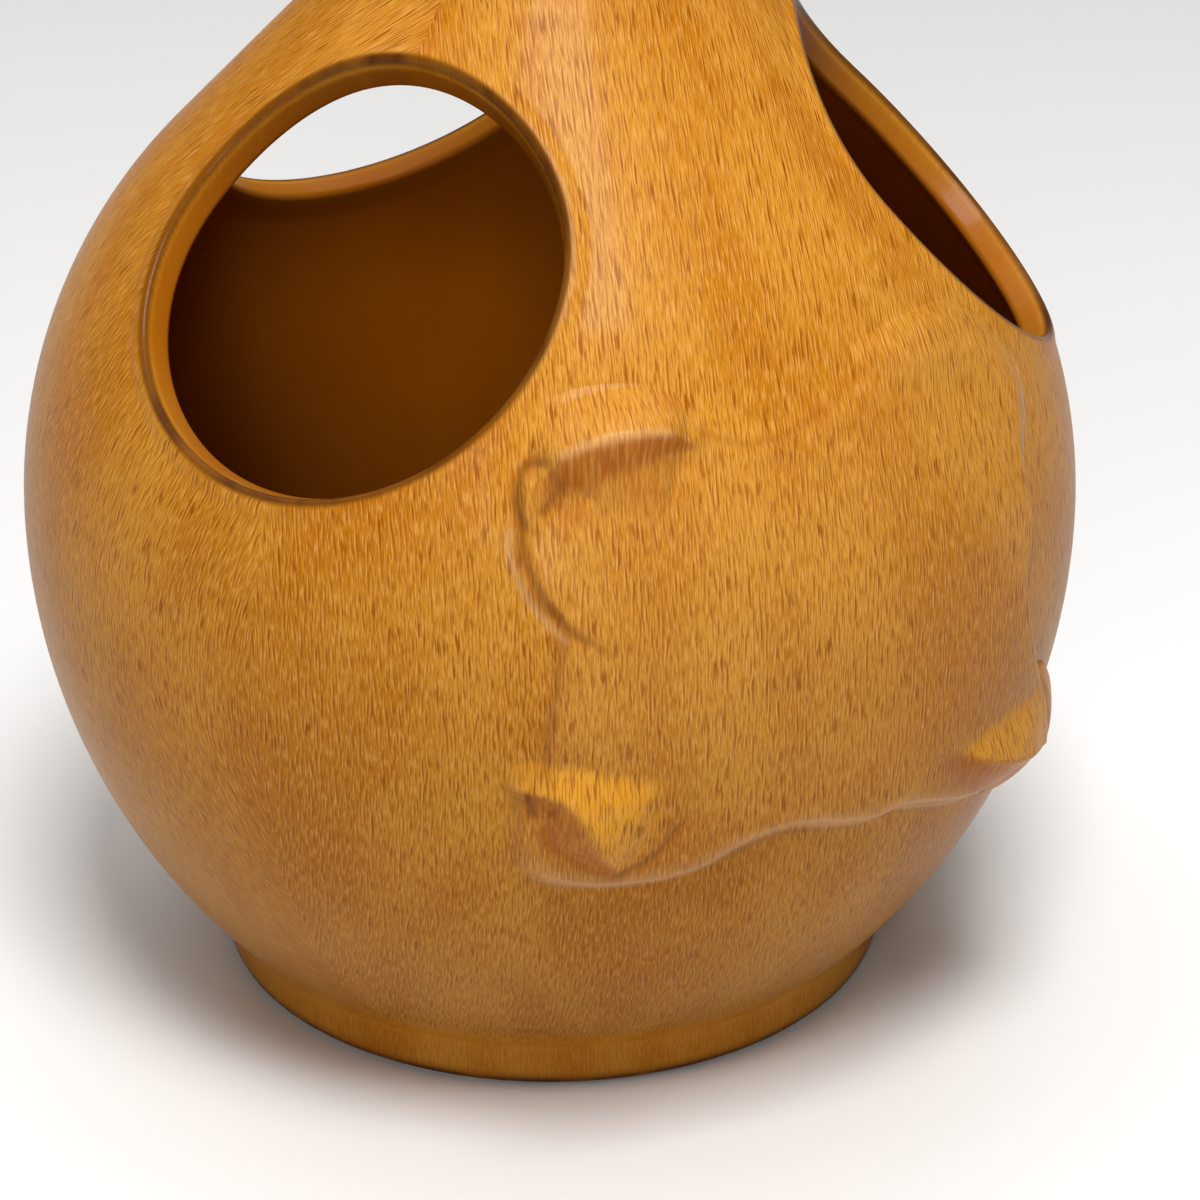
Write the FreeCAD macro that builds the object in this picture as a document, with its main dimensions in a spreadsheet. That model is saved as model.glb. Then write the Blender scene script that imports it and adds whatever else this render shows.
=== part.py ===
import FreeCAD, Part
import math
import os
import re
import Sketcher

# Utensil crock: a round pierced pot with a parchment scroll laid on its belly.
# Millimetres, +Z up, the scroll faces -Y, origin at the middle of the foot's underside.

# Driving dimensions: lengths in millimetres, angles in degrees
sizes = {
    # Pot wall
    "belly_radius": 90,
    "belly_height": 84,
    "belly_curve_radius": 109,
    "shoulder_curve_radius": 90,
    "shoulder_slope_angle": 45,
    "wall_thickness": 5,
    "floor_thickness": 6,
    "floor_round_radius": 14,
    # Neck and mouth
    "neck_radius": 27,
    "neck_curve_radius": 24,
    "mouth_flare_angle": 38,
    "mouth_lip_height": 3,
    "mouth_lip_overhang_width": 0.8,
    # Foot
    "foot_height": 10,
    "foot_inset_width": 2,
    "foot_width": 10,
    "foot_round_radius": 2,
    # Windows in the shoulder, below the neck's seat
    "window_radius": 35.3,
    "window_neck_gap": 6,
    "window_lip_width": 2.5,
    "window_lip_proud_height": 0.5,
    # Parchment scroll
    "scroll_width": 96,
    "scroll_height": 72,
    "scroll_middle_height": 91,
    "scroll_thickness": 2.4,
    # Rolled corners of the scroll
    "upper_left_curl_radius": 7,
    "upper_right_curl_radius": 7,
    "lower_left_curl_radius": 7,
    "lower_right_curl_radius": 7,
    "curl_tip_radius": 3,
    "curl_wall_thickness": 2.6,
    # How far a cutting shape runs past what it cuts
    "overrun_length": 6,
}

# Corners of the scroll as shares of its width and height, anticlockwise from the upper left,
# each with the share of the width by which the edge after it bows outwards
scroll_edge_shares = [
    (-0.48, 0.46, -0.045),
    (-0.44, 0.08, -0.015),
    (-0.49, -0.44, 0.020),
    (-0.24, -0.49, -0.020),
    (0.02, -0.42, 0.020),
    (0.48, -0.47, -0.045),
    (0.43, 0.02, -0.030),
    (0.48, 0.45, -0.015),
    (0.06, 0.47, -0.010),
]

# Each rolled corner: wide end and narrow end as shares of the scroll's width and height
curl_end_shares = {
    "upper_left": ((-0.455, 0.40), (-0.20, 0.49)),
    "upper_right": ((0.47, 0.40), (0.22, 0.49)),
    "lower_left": ((-0.37, -0.47), (-0.49, -0.22)),
    "lower_right": ((0.39, -0.48), (0.50, -0.22)),
}

# How deep a roll's hollow end is, as a share of its length
curl_hollow_share = 0.6

# Turn of each window about the pot's axis from the scroll's side, in shares of the step between windows
window_turn_shares = {"left": -0.5, "right": 0.5, "rear": 1.5}

# Points nearer than this, in millimetres, count as one place
same_place = 0.001

doc = FreeCAD.newDocument("UtensilCrock")
sheet = doc.addObject("Spreadsheet::Sheet", "Sizes")
for row, (alias, size) in enumerate(sizes.items(), 1):
    sheet.set(f"A{row}", alias)
    sheet.set(f"B{row}", str(size))
    sheet.setAlias(f"B{row}", alias)
doc.recompute()


def bound(formula):
    # A formula in size names, written so that any object of the document can read the sheet
    return re.sub(r"[a-z_]+", lambda word: "Sizes." + word[0] if word[0] in sizes else word[0], formula)


def measure(formula):
    return float(sheet.evalExpression(bound(formula)))


# Formulas of the pot's section: radius from the axis, height above the table
belly_centre = "(belly_radius - belly_curve_radius)"
shoulder_centre = "(belly_radius - shoulder_curve_radius)"
floor_height = "(foot_height + floor_thickness)"
neck_centre = "(neck_radius + neck_curve_radius)"
turn_radius = f"({shoulder_centre} + shoulder_curve_radius*cos(shoulder_slope_angle))"
turn_height = "(belly_height + shoulder_curve_radius*sin(shoulder_slope_angle))"
seat_radius = f"({neck_centre} - neck_curve_radius*cos(shoulder_slope_angle))"
seat_height = f"({turn_height} + ({turn_radius} - {seat_radius})/tan(shoulder_slope_angle))"
throat_height = f"({seat_height} + neck_curve_radius*sin(shoulder_slope_angle))"

# Formulas of a window: it hangs a set way down the shoulder from the neck's seat, square to the wall
hole_radius = "(window_radius + window_lip_width)"
window_drop = f"(window_neck_gap + {hole_radius})"
slope_run = f"(({turn_radius} - {seat_radius})/sin(shoulder_slope_angle))"
slope_left = f"max(0; {slope_run} - {window_drop})"
window_turn_back = f"(max(0; {window_drop} - {slope_run})/shoulder_curve_radius*180/pi)"
window_tilt = f"(shoulder_slope_angle - {window_turn_back})"
window_centre_radius = (f"({shoulder_centre} + shoulder_curve_radius*cos({window_tilt})"
                        f" - {slope_left}*sin(shoulder_slope_angle))")
window_centre_height = (f"(belly_height + shoulder_curve_radius*sin({window_tilt})"
                        f" + {slope_left}*cos(shoulder_slope_angle))")
window_source_height = f"({window_centre_height} - {window_centre_radius}*tan({window_tilt}))"
window_reach = f"({window_centre_radius}/cos({window_tilt}))"
rod_length = "(belly_radius + window_radius)"


def belly_at(height, offset="0"):
    # Radius of the lower wall at a height, moved outwards by an offset
    return f"({belly_centre} + sqrt((belly_curve_radius + {offset})^2 - ({height} - belly_height)^2))"


def shoulder_at(height, offset="0"):
    # Radius of the round part of the shoulder at a height, moved outwards by an offset
    return f"({shoulder_centre} + sqrt((shoulder_curve_radius + {offset})^2 - ({height} - belly_height)^2))"


def on_slope(radius, height, offset):
    # A point of the shoulder's straight slope, moved outwards by an offset
    return (f"({radius} + ({offset})*cos(shoulder_slope_angle))",
            f"({height} + ({offset})*sin(shoulder_slope_angle))")


def on_flare(distance):
    # A point at the end of the neck's sweep, at a distance from the sweep's centre
    return (f"({neck_centre} - ({distance})*cos(mouth_flare_angle))",
            f"({throat_height} + ({distance})*sin(mouth_flare_angle))")


def bowed_radius(chord_squared, bow):
    return f"((({chord_squared})/4 + ({bow})^2)/(2*({bow})))"


def arc_between(start, end, radius, turn):
    # The shorter arc from start to end, turning left or right on the way
    chord = end - start
    rise = math.sqrt(radius**2 - (chord.Length/2)**2)
    side = 1 if turn == "left" else -1
    centre = (start + end)*0.5 + FreeCAD.Vector(-chord.y, chord.x, 0).normalize()*rise*side
    first, last = (start, end) if turn == "left" else (end, start)
    angles = [math.atan2(point.y - centre.y, point.x - centre.x) for point in (first, last)]
    circle = Part.Circle(centre, FreeCAD.Vector(0, 0, 1), radius)
    return Part.ArcOfCircle(circle, angles[0], angles[1])


def sketch_on(body, name, role):
    sketch = body.newObject("Sketcher::SketchObject", name)
    plane = next(feature for feature in body.Origin.OriginFeatures if feature.Role == role)
    sketch.AttachmentSupport = [(plane, "")]
    sketch.MapMode = "FlatFace"
    return sketch


def bind(sketch, constraint, formula):
    number = sketch.addConstraint(constraint)
    sketch.setExpression(f"Constraints[{number}]", bound(formula))


def outline(sketch, corners):
    # A closed outline: each corner is (x, y) and then "line", or an arc's turn and radius, to the next
    points = [FreeCAD.Vector(measure(corner[0]), measure(corner[1]), 0) for corner in corners]
    ends = []
    for index, corner in enumerate(corners):
        start = points[index]
        end = points[(index + 1) % len(points)]
        if corner[2] == "line":
            sketch.addGeometry(Part.LineSegment(start, end))
        else:
            sketch.addGeometry(arc_between(start, end, measure(corner[3]), corner[2]))
        ends.append((2, 1) if corner[2] == "right" else (1, 2))
    for index in range(len(corners)):
        after = (index + 1) % len(corners)
        joined = (index, ends[index][1], after, ends[after][0])
        sketch.addConstraint(Sketcher.Constraint("Coincident", *joined))
    for index, corner in enumerate(corners):
        place = (-1, 1, index, ends[index][0])
        bind(sketch, Sketcher.Constraint("DistanceX", *place, points[index].x), corner[0])
        bind(sketch, Sketcher.Constraint("DistanceY", *place, points[index].y), corner[1])
        if corner[2] != "line":
            bind(sketch, Sketcher.Constraint("Radius", index, measure(corner[3])), corner[3])


def turned(name, corners):
    # A body turned about the pot's axis from one closed outline
    body = doc.addObject("PartDesign::Body", name)
    sketch = sketch_on(body, name + "_section", "XZ_Plane")
    outline(sketch, corners)
    revolution = body.newObject("PartDesign::Revolution", name + "_turning")
    revolution.Profile = sketch
    revolution.ReferenceAxis = (sketch, ["V_Axis"])
    revolution.Angle = 360
    doc.recompute()
    return body


def round_edges(body, name, size, chosen):
    # Round the edges of the body's last feature that the test picks out
    base = body.Tip
    names = [f"Edge{number}" for number, edge in enumerate(base.Shape.Edges, 1) if chosen(edge)]
    fillet = body.newObject("PartDesign::Fillet", name)
    fillet.Base = (base, names)
    fillet.setExpression("Radius", bound(size))
    doc.recompute()


def lies_at(height, radius):
    # A test for a circular edge at one height and radius
    level = measure(height)
    reach = measure(radius)

    def chosen(edge):
        point = edge.Vertexes[0].Point
        flat = edge.BoundBox.ZLength < same_place
        level_right = abs(point.z - level) < same_place
        return flat and level_right and abs(math.hypot(point.x, point.y) - reach) < same_place

    return chosen


def shell(outer, inner):
    # Section of the shoulder wall between two offsets, from the widest line up to the neck's seat
    return [
        (f"(belly_radius + {outer})", "belly_height", "left", f"(shoulder_curve_radius + {outer})"),
        (*on_slope(turn_radius, turn_height, outer), "line"),
        (*on_slope(seat_radius, seat_height, outer), "line"),
        (*on_slope(seat_radius, seat_height, inner), "line"),
        (*on_slope(turn_radius, turn_height, inner), "right", f"(shoulder_curve_radius + {inner})"),
        (f"(belly_radius + {inner})", "belly_height", "line"),
    ]


# Lower bowl with its floor
bowl = turned("belly_bowl", [
    ("0", "foot_height", "line"),
    (belly_at("foot_height"), "foot_height", "left", "belly_curve_radius"),
    ("belly_radius", "belly_height", "line"),
    ("(belly_radius - wall_thickness)", "belly_height", "right", "(belly_curve_radius - wall_thickness)"),
    (belly_at(floor_height, "-wall_thickness"), floor_height, "line"),
    ("0", floor_height, "line"),
])
floor_edge = lies_at(floor_height, belly_at(floor_height, "-wall_thickness"))
round_edges(bowl, "floor_rounding", "floor_round_radius", floor_edge)

# Pierced shoulder: one window is cut at the rear and repeated about the axis
dome = turned("shoulder_dome", shell("0", "-wall_thickness"))
whole_volume = dome.Shape.Volume
window_sketch = sketch_on(dome, "window_outline", "XZ_Plane")
window_sketch.AttachmentOffset = FreeCAD.Placement(
    FreeCAD.Vector(0, measure(window_source_height), 0),
    FreeCAD.Rotation(FreeCAD.Vector(1, 0, 0), 180 + measure(window_tilt)))
window_sketch.setExpression("AttachmentOffset.Base.y", bound(window_source_height))
window_sketch.setExpression("AttachmentOffset.Rotation.Angle", bound(f"180 + {window_tilt}"))
middle = FreeCAD.Vector(0, 0, 0)
window_sketch.addGeometry(Part.Circle(middle, FreeCAD.Vector(0, 0, 1), measure(hole_radius)))
window_sketch.addConstraint(Sketcher.Constraint("Coincident", 0, 3, -1, 1))
bind(window_sketch, Sketcher.Constraint("Radius", 0, measure(hole_radius)), hole_radius)
window_cut = dome.newObject("PartDesign::Pocket", "window_cut")
window_cut.Profile = window_sketch
window_cut.Type = "Length"
window_cut.setExpression("Length", bound(rod_length))
window_cut.Reversed = True
doc.recompute()
window_ring = dome.newObject("PartDesign::PolarPattern", "window_ring")
window_ring.Originals = [window_cut]
window_ring.Axis = (next(line for line in dome.Origin.OriginFeatures if line.Role == "Z_Axis"), [""])
window_ring.Angle = 360
window_ring.Occurrences = len(window_turn_shares)
dome.Tip = window_ring
doc.recompute()

# Neck, swept up from the shoulder to the flared mouth
neck = turned("neck_collar", [
    (seat_radius, seat_height, "right", "neck_curve_radius"),
    (*on_flare("neck_curve_radius"), "line"),
    (*on_flare("neck_curve_radius + wall_thickness"), "left", "(neck_curve_radius + wall_thickness)"),
    (*on_slope(seat_radius, seat_height, "-wall_thickness"), "line"),
])

# Rolled coil on the mouth
lip_chord = "(wall_thickness + 2*mouth_lip_overhang_width)"
mouth_lip = turned("mouth_lip", [
    (*on_flare("neck_curve_radius - mouth_lip_overhang_width"), "left",
     bowed_radius(f"{lip_chord}^2", "mouth_lip_height")),
    (*on_flare("neck_curve_radius + wall_thickness + mouth_lip_overhang_width"), "line"),
])

# Foot ring under the bowl
foot_radius = f"({belly_at('foot_height')} - foot_inset_width)"
foot_bore = f"({foot_radius} - foot_width)"
foot = turned("foot_ring", [
    (foot_bore, "0", "line"),
    (foot_radius, "0", "line"),
    (foot_radius, "foot_height", "line"),
    (foot_bore, "foot_height", "line"),
])
foot_edges = [lies_at("0", foot_bore), lies_at("0", foot_radius)]
round_edges(foot, "foot_rounding", "foot_round_radius", lambda edge: any(test(edge) for test in foot_edges))


# Coils that bind the windows' cut edges
lip_back = "-(wall_thickness + window_lip_proud_height)"
lip_band = turned("window_lip_band", shell("window_lip_proud_height", lip_back))


def window_rod(kind, name, radius, turn):
    rod = doc.addObject(kind, name)
    rod.setExpression("Height", bound(rod_length))
    if kind == "Part::Cone":  # a tapered rod starts from a point on the pot's axis
        rod.Radius1 = 0
        rod.setExpression("Radius2", bound(f"{rod_length}*tan(asin({radius}/{window_reach}))"))
    else:
        rod.setExpression("Radius", bound(radius))
    tilt = FreeCAD.Rotation(FreeCAD.Vector(1, 0, 0), 90 - measure(window_tilt))
    rod.Placement = FreeCAD.Placement(FreeCAD.Vector(0, 0, measure(window_source_height)),
                                      FreeCAD.Rotation(FreeCAD.Vector(0, 0, 1), turn).multiply(tilt))
    rod.setExpression("Placement.Base.z", bound(window_source_height))
    return rod


def combine(kind, name, base, tool):
    result = doc.addObject(kind, name)
    result.Base = base
    result.Tool = tool
    doc.recompute()
    return result


def window_lip(side, share):
    turn = share*360/len(window_turn_shares)
    outside = window_rod("Part::Cylinder", f"lip_outside_{side}", hole_radius, turn)
    inside = window_rod("Part::Cone", f"lip_inside_{side}", "window_radius", turn)
    ring = combine("Part::Cut", f"lip_ring_{side}", outside, inside)
    return combine("Part::Common", f"window_lip_{side}", lip_band, ring)


window_lips = [window_lip(side, share) for side, share in window_turn_shares.items()]


# Parchment sheet: a skin on the belly, trimmed to the scroll's outline
scroll_low = "(scroll_middle_height - scroll_height/2 - overrun_length)"
scroll_high = "(scroll_middle_height + scroll_height/2 + overrun_length)"
scroll_skin = turned("scroll_skin", [
    (belly_at(scroll_low), scroll_low, "line"),
    (belly_at(scroll_low, "scroll_thickness"), scroll_low, "left",
     "(belly_curve_radius + scroll_thickness)"),
    ("(belly_radius + scroll_thickness)", "belly_height", "left",
     "(shoulder_curve_radius + scroll_thickness)"),
    (shoulder_at(scroll_high, "scroll_thickness"), scroll_high, "line"),
    (shoulder_at(scroll_high), scroll_high, "right", "shoulder_curve_radius"),
    ("belly_radius", "belly_height", "right", "belly_curve_radius"),
])


def scroll_corners():
    corners = []
    for index, (across, up, bow) in enumerate(scroll_edge_shares):
        after = scroll_edge_shares[(index + 1) % len(scroll_edge_shares)]
        chord = f"(({after[0] - across})*scroll_width)^2 + (({after[1] - up})*scroll_height)^2"
        corners.append((f"({across})*scroll_width", f"scroll_middle_height + ({up})*scroll_height",
                        "left" if bow > 0 else "right", bowed_radius(chord, f"{abs(bow)}*scroll_width")))
    return corners


scroll_block = doc.addObject("PartDesign::Body", "scroll_block")
scroll_sketch = sketch_on(scroll_block, "scroll_outline", "XZ_Plane")
outline(scroll_sketch, scroll_corners())
scroll_pad = scroll_block.newObject("PartDesign::Pad", "scroll_pad")
scroll_pad.Profile = scroll_sketch
scroll_pad.setExpression("Length", bound("belly_radius + scroll_thickness + overrun_length"))
doc.recompute()
scroll_sheet = combine("Part::Common", "scroll_sheet", scroll_skin, scroll_block)

# Solid pot outline, which the rolled corners are trimmed against
pot_core = turned("pot_core", [
    ("0", "foot_height", "line"),
    (belly_at("foot_height"), "foot_height", "left", "belly_curve_radius"),
    ("belly_radius", "belly_height", "left", "shoulder_curve_radius"),
    (turn_radius, turn_height, "line"),
    (seat_radius, seat_height, "line"),
    ("0", seat_height, "line"),
])


def on_belly(shares):
    # The point of the pot's outside behind a place on the scroll
    across = shares[0]*measure("scroll_width")
    height = measure("scroll_middle_height") + shares[1]*measure("scroll_height")
    wall_at = belly_at if height < measure("belly_height") else shoulder_at
    reach = measure(wall_at(str(height)))
    return FreeCAD.Vector(across, -math.sqrt(reach**2 - across**2), height)


def scroll_curl(corner, wide_shares, narrow_shares):
    # A rolled corner lies askew on a doubly curved belly, so it is a cone set between two points of it
    wide_end = on_belly(wide_shares)
    axis = on_belly(narrow_shares) - wide_end
    radius = measure(f"{corner}_curl_radius")
    hollow = radius - measure("curl_wall_thickness")
    tip = measure("curl_tip_radius")
    roll = Part.makeCone(radius, tip, axis.Length, wide_end, axis)
    depth = axis.Length*curl_hollow_share
    roll = roll.cut(Part.makeCone(hollow, tip*curl_hollow_share, depth, wide_end, axis))
    curl = doc.addObject("Part::Feature", f"scroll_curl_{corner}")
    curl.Shape = roll.cut(pot_core.Shape).cut(scroll_sheet.Shape)
    return curl


scroll_curls = [scroll_curl(corner, *ends) for corner, ends in curl_end_shares.items()]

# Every object has to be sound before anything is written
doc.recompute()
for item in doc.Objects:
    if {"Invalid", "Error"} & set(item.State):
        raise RuntimeError(f"{item.Label} failed: {item.State}")
if dome.Shape.Volume >= whole_volume:
    raise RuntimeError("the windows cut nothing")

pieces = [bowl, dome, neck, mouth_lip, foot, *window_lips, scroll_sheet, *scroll_curls]
for piece in pieces:
    if piece.Shape.isNull() or not piece.Shape.isValid():
        raise RuntimeError(f"{piece.Label} has no sound shape")
    print(f"{piece.Label}: {len(piece.Shape.Solids)} solid, {piece.Shape.Volume/1000:.2f} cm3")

os.makedirs("parts", exist_ok=True)
for piece in pieces:
    piece.Shape.exportStep(f"parts/{piece.Label}.step")
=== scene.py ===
import bmesh
import bpy
import math
import numpy
from mathutils import Matrix, Vector


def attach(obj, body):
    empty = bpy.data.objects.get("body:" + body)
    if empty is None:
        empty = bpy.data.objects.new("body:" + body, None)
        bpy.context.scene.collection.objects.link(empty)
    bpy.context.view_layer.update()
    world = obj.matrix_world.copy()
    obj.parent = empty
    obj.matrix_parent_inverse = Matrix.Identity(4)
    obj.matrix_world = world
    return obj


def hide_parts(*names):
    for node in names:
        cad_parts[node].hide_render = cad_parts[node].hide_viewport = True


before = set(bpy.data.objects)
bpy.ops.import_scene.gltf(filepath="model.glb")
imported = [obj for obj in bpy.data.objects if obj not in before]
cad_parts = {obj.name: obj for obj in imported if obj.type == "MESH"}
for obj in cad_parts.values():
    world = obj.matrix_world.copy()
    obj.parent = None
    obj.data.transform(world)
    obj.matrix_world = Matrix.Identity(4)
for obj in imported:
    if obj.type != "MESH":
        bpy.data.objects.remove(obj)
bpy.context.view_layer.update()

# Section of the pot in metres: radius from the axis and height above the table
pot = {
    "bellyRadius": 0.0900, "bellyHeight": 0.0840, "bellyCurve": 0.1090, "shoulderCurve": 0.0900,
    "slope": 45.0, "wall": 0.0050, "floorTop": 0.0160, "floorRound": 0.0140,
    "neckRadius": 0.0270, "neckCurve": 0.0240, "flare": 38.0,
    "lipRise": 0.00270, "lipOverhang": 0.0008, "lipSteps": 20, "lipFullness": 0.8,
    "footHeight": 0.0100, "footOuter": 0.05903, "footInner": 0.04903, "footRound": 0.0020,
    "footFillet": 0.0030, "recessRound": 0.0020,
    # Mesh density along the section and round the axis
    "turnSteps": 192, "spacing": 0.0017, "insideSpacing": 0.0026, "flatSpacing": 0.008, "recessSpacing": 0.0007,
    "roundSpacing": 0.0006, "standSpacing": 0.0015, "edgeSpacing": 0.0005, "footSpacing": 0.001,
    "leastStep": 0.00005, "mergeDistance": 0.00002, "sharpAngle": 50,
}

bellyCentre = pot["bellyRadius"] - pot["bellyCurve"]
slopeTurn = math.radians(pot["slope"])
turnPoint = Vector((pot["shoulderCurve"]*math.cos(slopeTurn),
                    pot["bellyHeight"] + pot["shoulderCurve"]*math.sin(slopeTurn)))
neckCentreRadius = pot["neckRadius"] + pot["neckCurve"]
seatRadius = neckCentreRadius - pot["neckCurve"]*math.cos(slopeTurn)
seatPoint = Vector((seatRadius, turnPoint.y + (turnPoint.x - seatRadius)/math.tan(slopeTurn)))
neckCentre = Vector((neckCentreRadius, seatPoint.y + pot["neckCurve"]*math.sin(slopeTurn)))


def addObject(name, bm):
    mesh = bpy.data.meshes.new(name)
    bm.to_mesh(mesh)
    bm.free()
    obj = bpy.data.objects.new(name, mesh)
    bpy.context.collection.objects.link(obj)
    return obj


def shadeSmooth(obj, sharpAngle):
    for face in obj.data.polygons:
        face.use_smooth = True
    obj.data.set_sharp_from_angle(angle=math.radians(sharpAngle))


def smoothStep(share):
    return share*share*(3 - 2*share)


def arc(centre, radius, start, end, spacing):
    steps = max(3, round(abs(math.radians(end - start))*radius/spacing))
    angles = [math.radians(start + (end - start)*step/steps) for step in range(steps + 1)]
    return [Vector((centre[0] + radius*math.cos(angle), centre[1] + radius*math.sin(angle))) for angle in angles]


def line(start, end, spacing):
    steps = max(1, round((Vector(end) - Vector(start)).length/spacing))
    return [Vector(start).lerp(Vector(end), step/steps) for step in range(steps + 1)]


def potSection():
    # From the axis under the floor, out over the foot, up the outside, over the mouth and down the inside
    out, fine, coarse, wall = [], pot["spacing"], pot["insideSpacing"], pot["wall"]
    foot, hollow, edge = pot["footOuter"], pot["footInner"], pot["footRound"]
    under, recess = pot["footHeight"], pot["recessRound"]
    out += line((0, under), (hollow - recess, under), pot["flatSpacing"])
    out += arc((hollow - recess, under - recess), recess, 90, 0, pot["recessSpacing"])
    out += arc((hollow + edge, edge), edge, 180, 270, pot["roundSpacing"])
    out += line((hollow + edge, 0), (foot - edge, 0), pot["standSpacing"])
    out += arc((foot - edge, edge), edge, -90, 0, pot["edgeSpacing"])
    fillet = pot["footFillet"]
    reach = pot["bellyCurve"] + fillet
    drop = math.sqrt(reach**2 - (foot + fillet - bellyCentre)**2)
    filletCentre = (foot + fillet, pot["bellyHeight"] - drop)
    contact = math.degrees(math.asin(drop/reach))
    out += line((foot, edge), (foot, filletCentre[1]), pot["footSpacing"])
    out += arc(filletCentre, fillet, 180, 180 - contact, pot["roundSpacing"])
    out += arc((bellyCentre, pot["bellyHeight"]), pot["bellyCurve"], -contact, 0, fine)
    out += arc((0, pot["bellyHeight"]), pot["shoulderCurve"], 0, pot["slope"], fine)
    out += line(turnPoint, seatPoint, fine)
    out += arc(neckCentre, pot["neckCurve"], 180 + pot["slope"], 180 - pot["flare"], fine)
    along = math.radians(180 - pot["flare"])
    flare = Vector((math.cos(along), math.sin(along)))
    ahead = Vector((flare.y, -flare.x))  # the way the wall runs on at the mouth
    middle = neckCentre + flare*(pot["neckCurve"] + wall/2)
    half = wall/2 + pot["lipOverhang"]
    for step in range(1, pot["lipSteps"]):
        angle = math.pi*step/pot["lipSteps"]
        rise = pot["lipRise"]*math.sin(angle)**pot["lipFullness"]
        out.append(middle - flare*half*math.cos(angle) + ahead*rise)
    out += arc(neckCentre, pot["neckCurve"] + wall, 180 - pot["flare"], 180 + pot["slope"], coarse)
    inward = Vector((math.cos(slopeTurn), math.sin(slopeTurn)))*wall
    out += line(seatPoint - inward, turnPoint - inward, coarse)
    out += arc((0, pot["bellyHeight"]), pot["shoulderCurve"] - wall, pot["slope"], 0, coarse)
    curve, corner = pot["bellyCurve"] - wall, pot["floorRound"]
    fall = pot["bellyHeight"] - pot["floorTop"] - corner
    cornerCentre = (bellyCentre + math.sqrt((curve - corner)**2 - fall**2), pot["floorTop"] + corner)
    dip = math.degrees(math.asin(fall/(curve - corner)))
    out += arc((bellyCentre, pot["bellyHeight"]), curve, 0, -dip, coarse)
    out += arc(cornerCentre, corner, -dip, -90, coarse)
    out += line((cornerCentre[0], pot["floorTop"]), (0, pot["floorTop"]), pot["flatSpacing"])
    kept = [out[0]]
    for point in out[1:]:
        if (point - kept[-1]).length > pot["leastStep"]:
            kept.append(point)
    return kept


def makeBody():
    bm = bmesh.new()
    verts = [bm.verts.new((point.x, 0, point.y)) for point in potSection()]
    edges = [bm.edges.new(pair) for pair in zip(verts, verts[1:])]
    bmesh.ops.spin(bm, geom=verts + edges, cent=(0, 0, 0), axis=(0, 0, 1), angle=math.tau,
                   steps=pot["turnSteps"], use_merge=True)
    bmesh.ops.remove_doubles(bm, verts=bm.verts, dist=pot["mergeDistance"])
    bmesh.ops.recalc_face_normals(bm, faces=bm.faces)
    return addObject("crock_body", bm)


windows = {
    "tilt": 43.774, "radius": 0.0353, "cutRadius": 0.0375, "outerFlange": 0.0392, "innerFlange": 0.0420,
    "edgeRound": 0.0011, "proud": 0.00040, "feather": -0.00001, "turns": {"left": -60, "right": 60, "rear": 180},
    # The cutter for the hole, and the lip's hidden back inside the wall
    "cutterSegments": 160, "cutterDepth": 0.14, "cutterPlace": 0.11, "backReach": 0.0002, "backDepth": 0.001,
    # Mesh density, and the search for the wall along the window's axis
    "ringSteps": 224, "flangeSteps": 12, "roundSteps": 8, "faceSteps": 6, "mergeDistance": 0.000005, "sharpAngle": 60,
    "searchFrom": 0.09, "searchSteps": 12, "searchSlope": 0.94,
}


def wallDistance(point):
    # How far outside the shoulder's outer face a point lies
    radius = math.hypot(point.x, point.y)
    rise = point.z - pot["bellyHeight"]
    if rise <= radius*math.tan(slopeTurn):
        return math.hypot(radius, rise) - pot["shoulderCurve"]
    return (radius - turnPoint.x)*math.cos(slopeTurn) + (point.z - turnPoint.y)*math.sin(slopeTurn)


def windowAxes(turn):
    tilt, turn = math.radians(windows["tilt"]), math.radians(turn)
    outward = Vector((math.sin(turn)*math.cos(tilt), -math.cos(turn)*math.cos(tilt), math.sin(tilt)))
    across = Vector((math.cos(turn), math.sin(turn), 0))
    return across, outward.cross(across), outward


def onWall(base, outward, level):
    # Slides a point along the window's axis until it lies at a level above the outer face
    travel = windows["searchFrom"]
    for _ in range(windows["searchSteps"]):
        travel -= (wallDistance(base + outward*travel) - level)/windows["searchSlope"]
    return base + outward*travel


def cutWindows(body):
    cutters = []
    for side, turn in windows["turns"].items():
        across, up, outward = windowAxes(turn)
        bm = bmesh.new()
        bmesh.ops.create_cone(bm, cap_ends=True, segments=windows["cutterSegments"], radius1=windows["cutRadius"],
                              radius2=windows["cutRadius"], depth=windows["cutterDepth"])
        turned = Matrix((across, up, outward)).transposed().to_4x4()
        turned.translation = Vector((0, 0, pot["bellyHeight"])) + outward*windows["cutterPlace"]
        bmesh.ops.transform(bm, matrix=turned, verts=bm.verts)
        cutter = addObject(f"window_cutter_{side}", bm)
        cutters.append(cutter)
        cut = body.modifiers.new(f"window_{side}", "BOOLEAN")
        cut.object = cutter
        cut.operation = "DIFFERENCE"
        cut.solver = "EXACT"
    graph = bpy.context.evaluated_depsgraph_get()
    mesh = bpy.data.meshes.new_from_object(body.evaluated_get(graph))
    body.modifiers.clear()
    body.data = mesh
    mesh.name = body.name
    for cutter in cutters:
        bpy.data.objects.remove(cutter)


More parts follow.
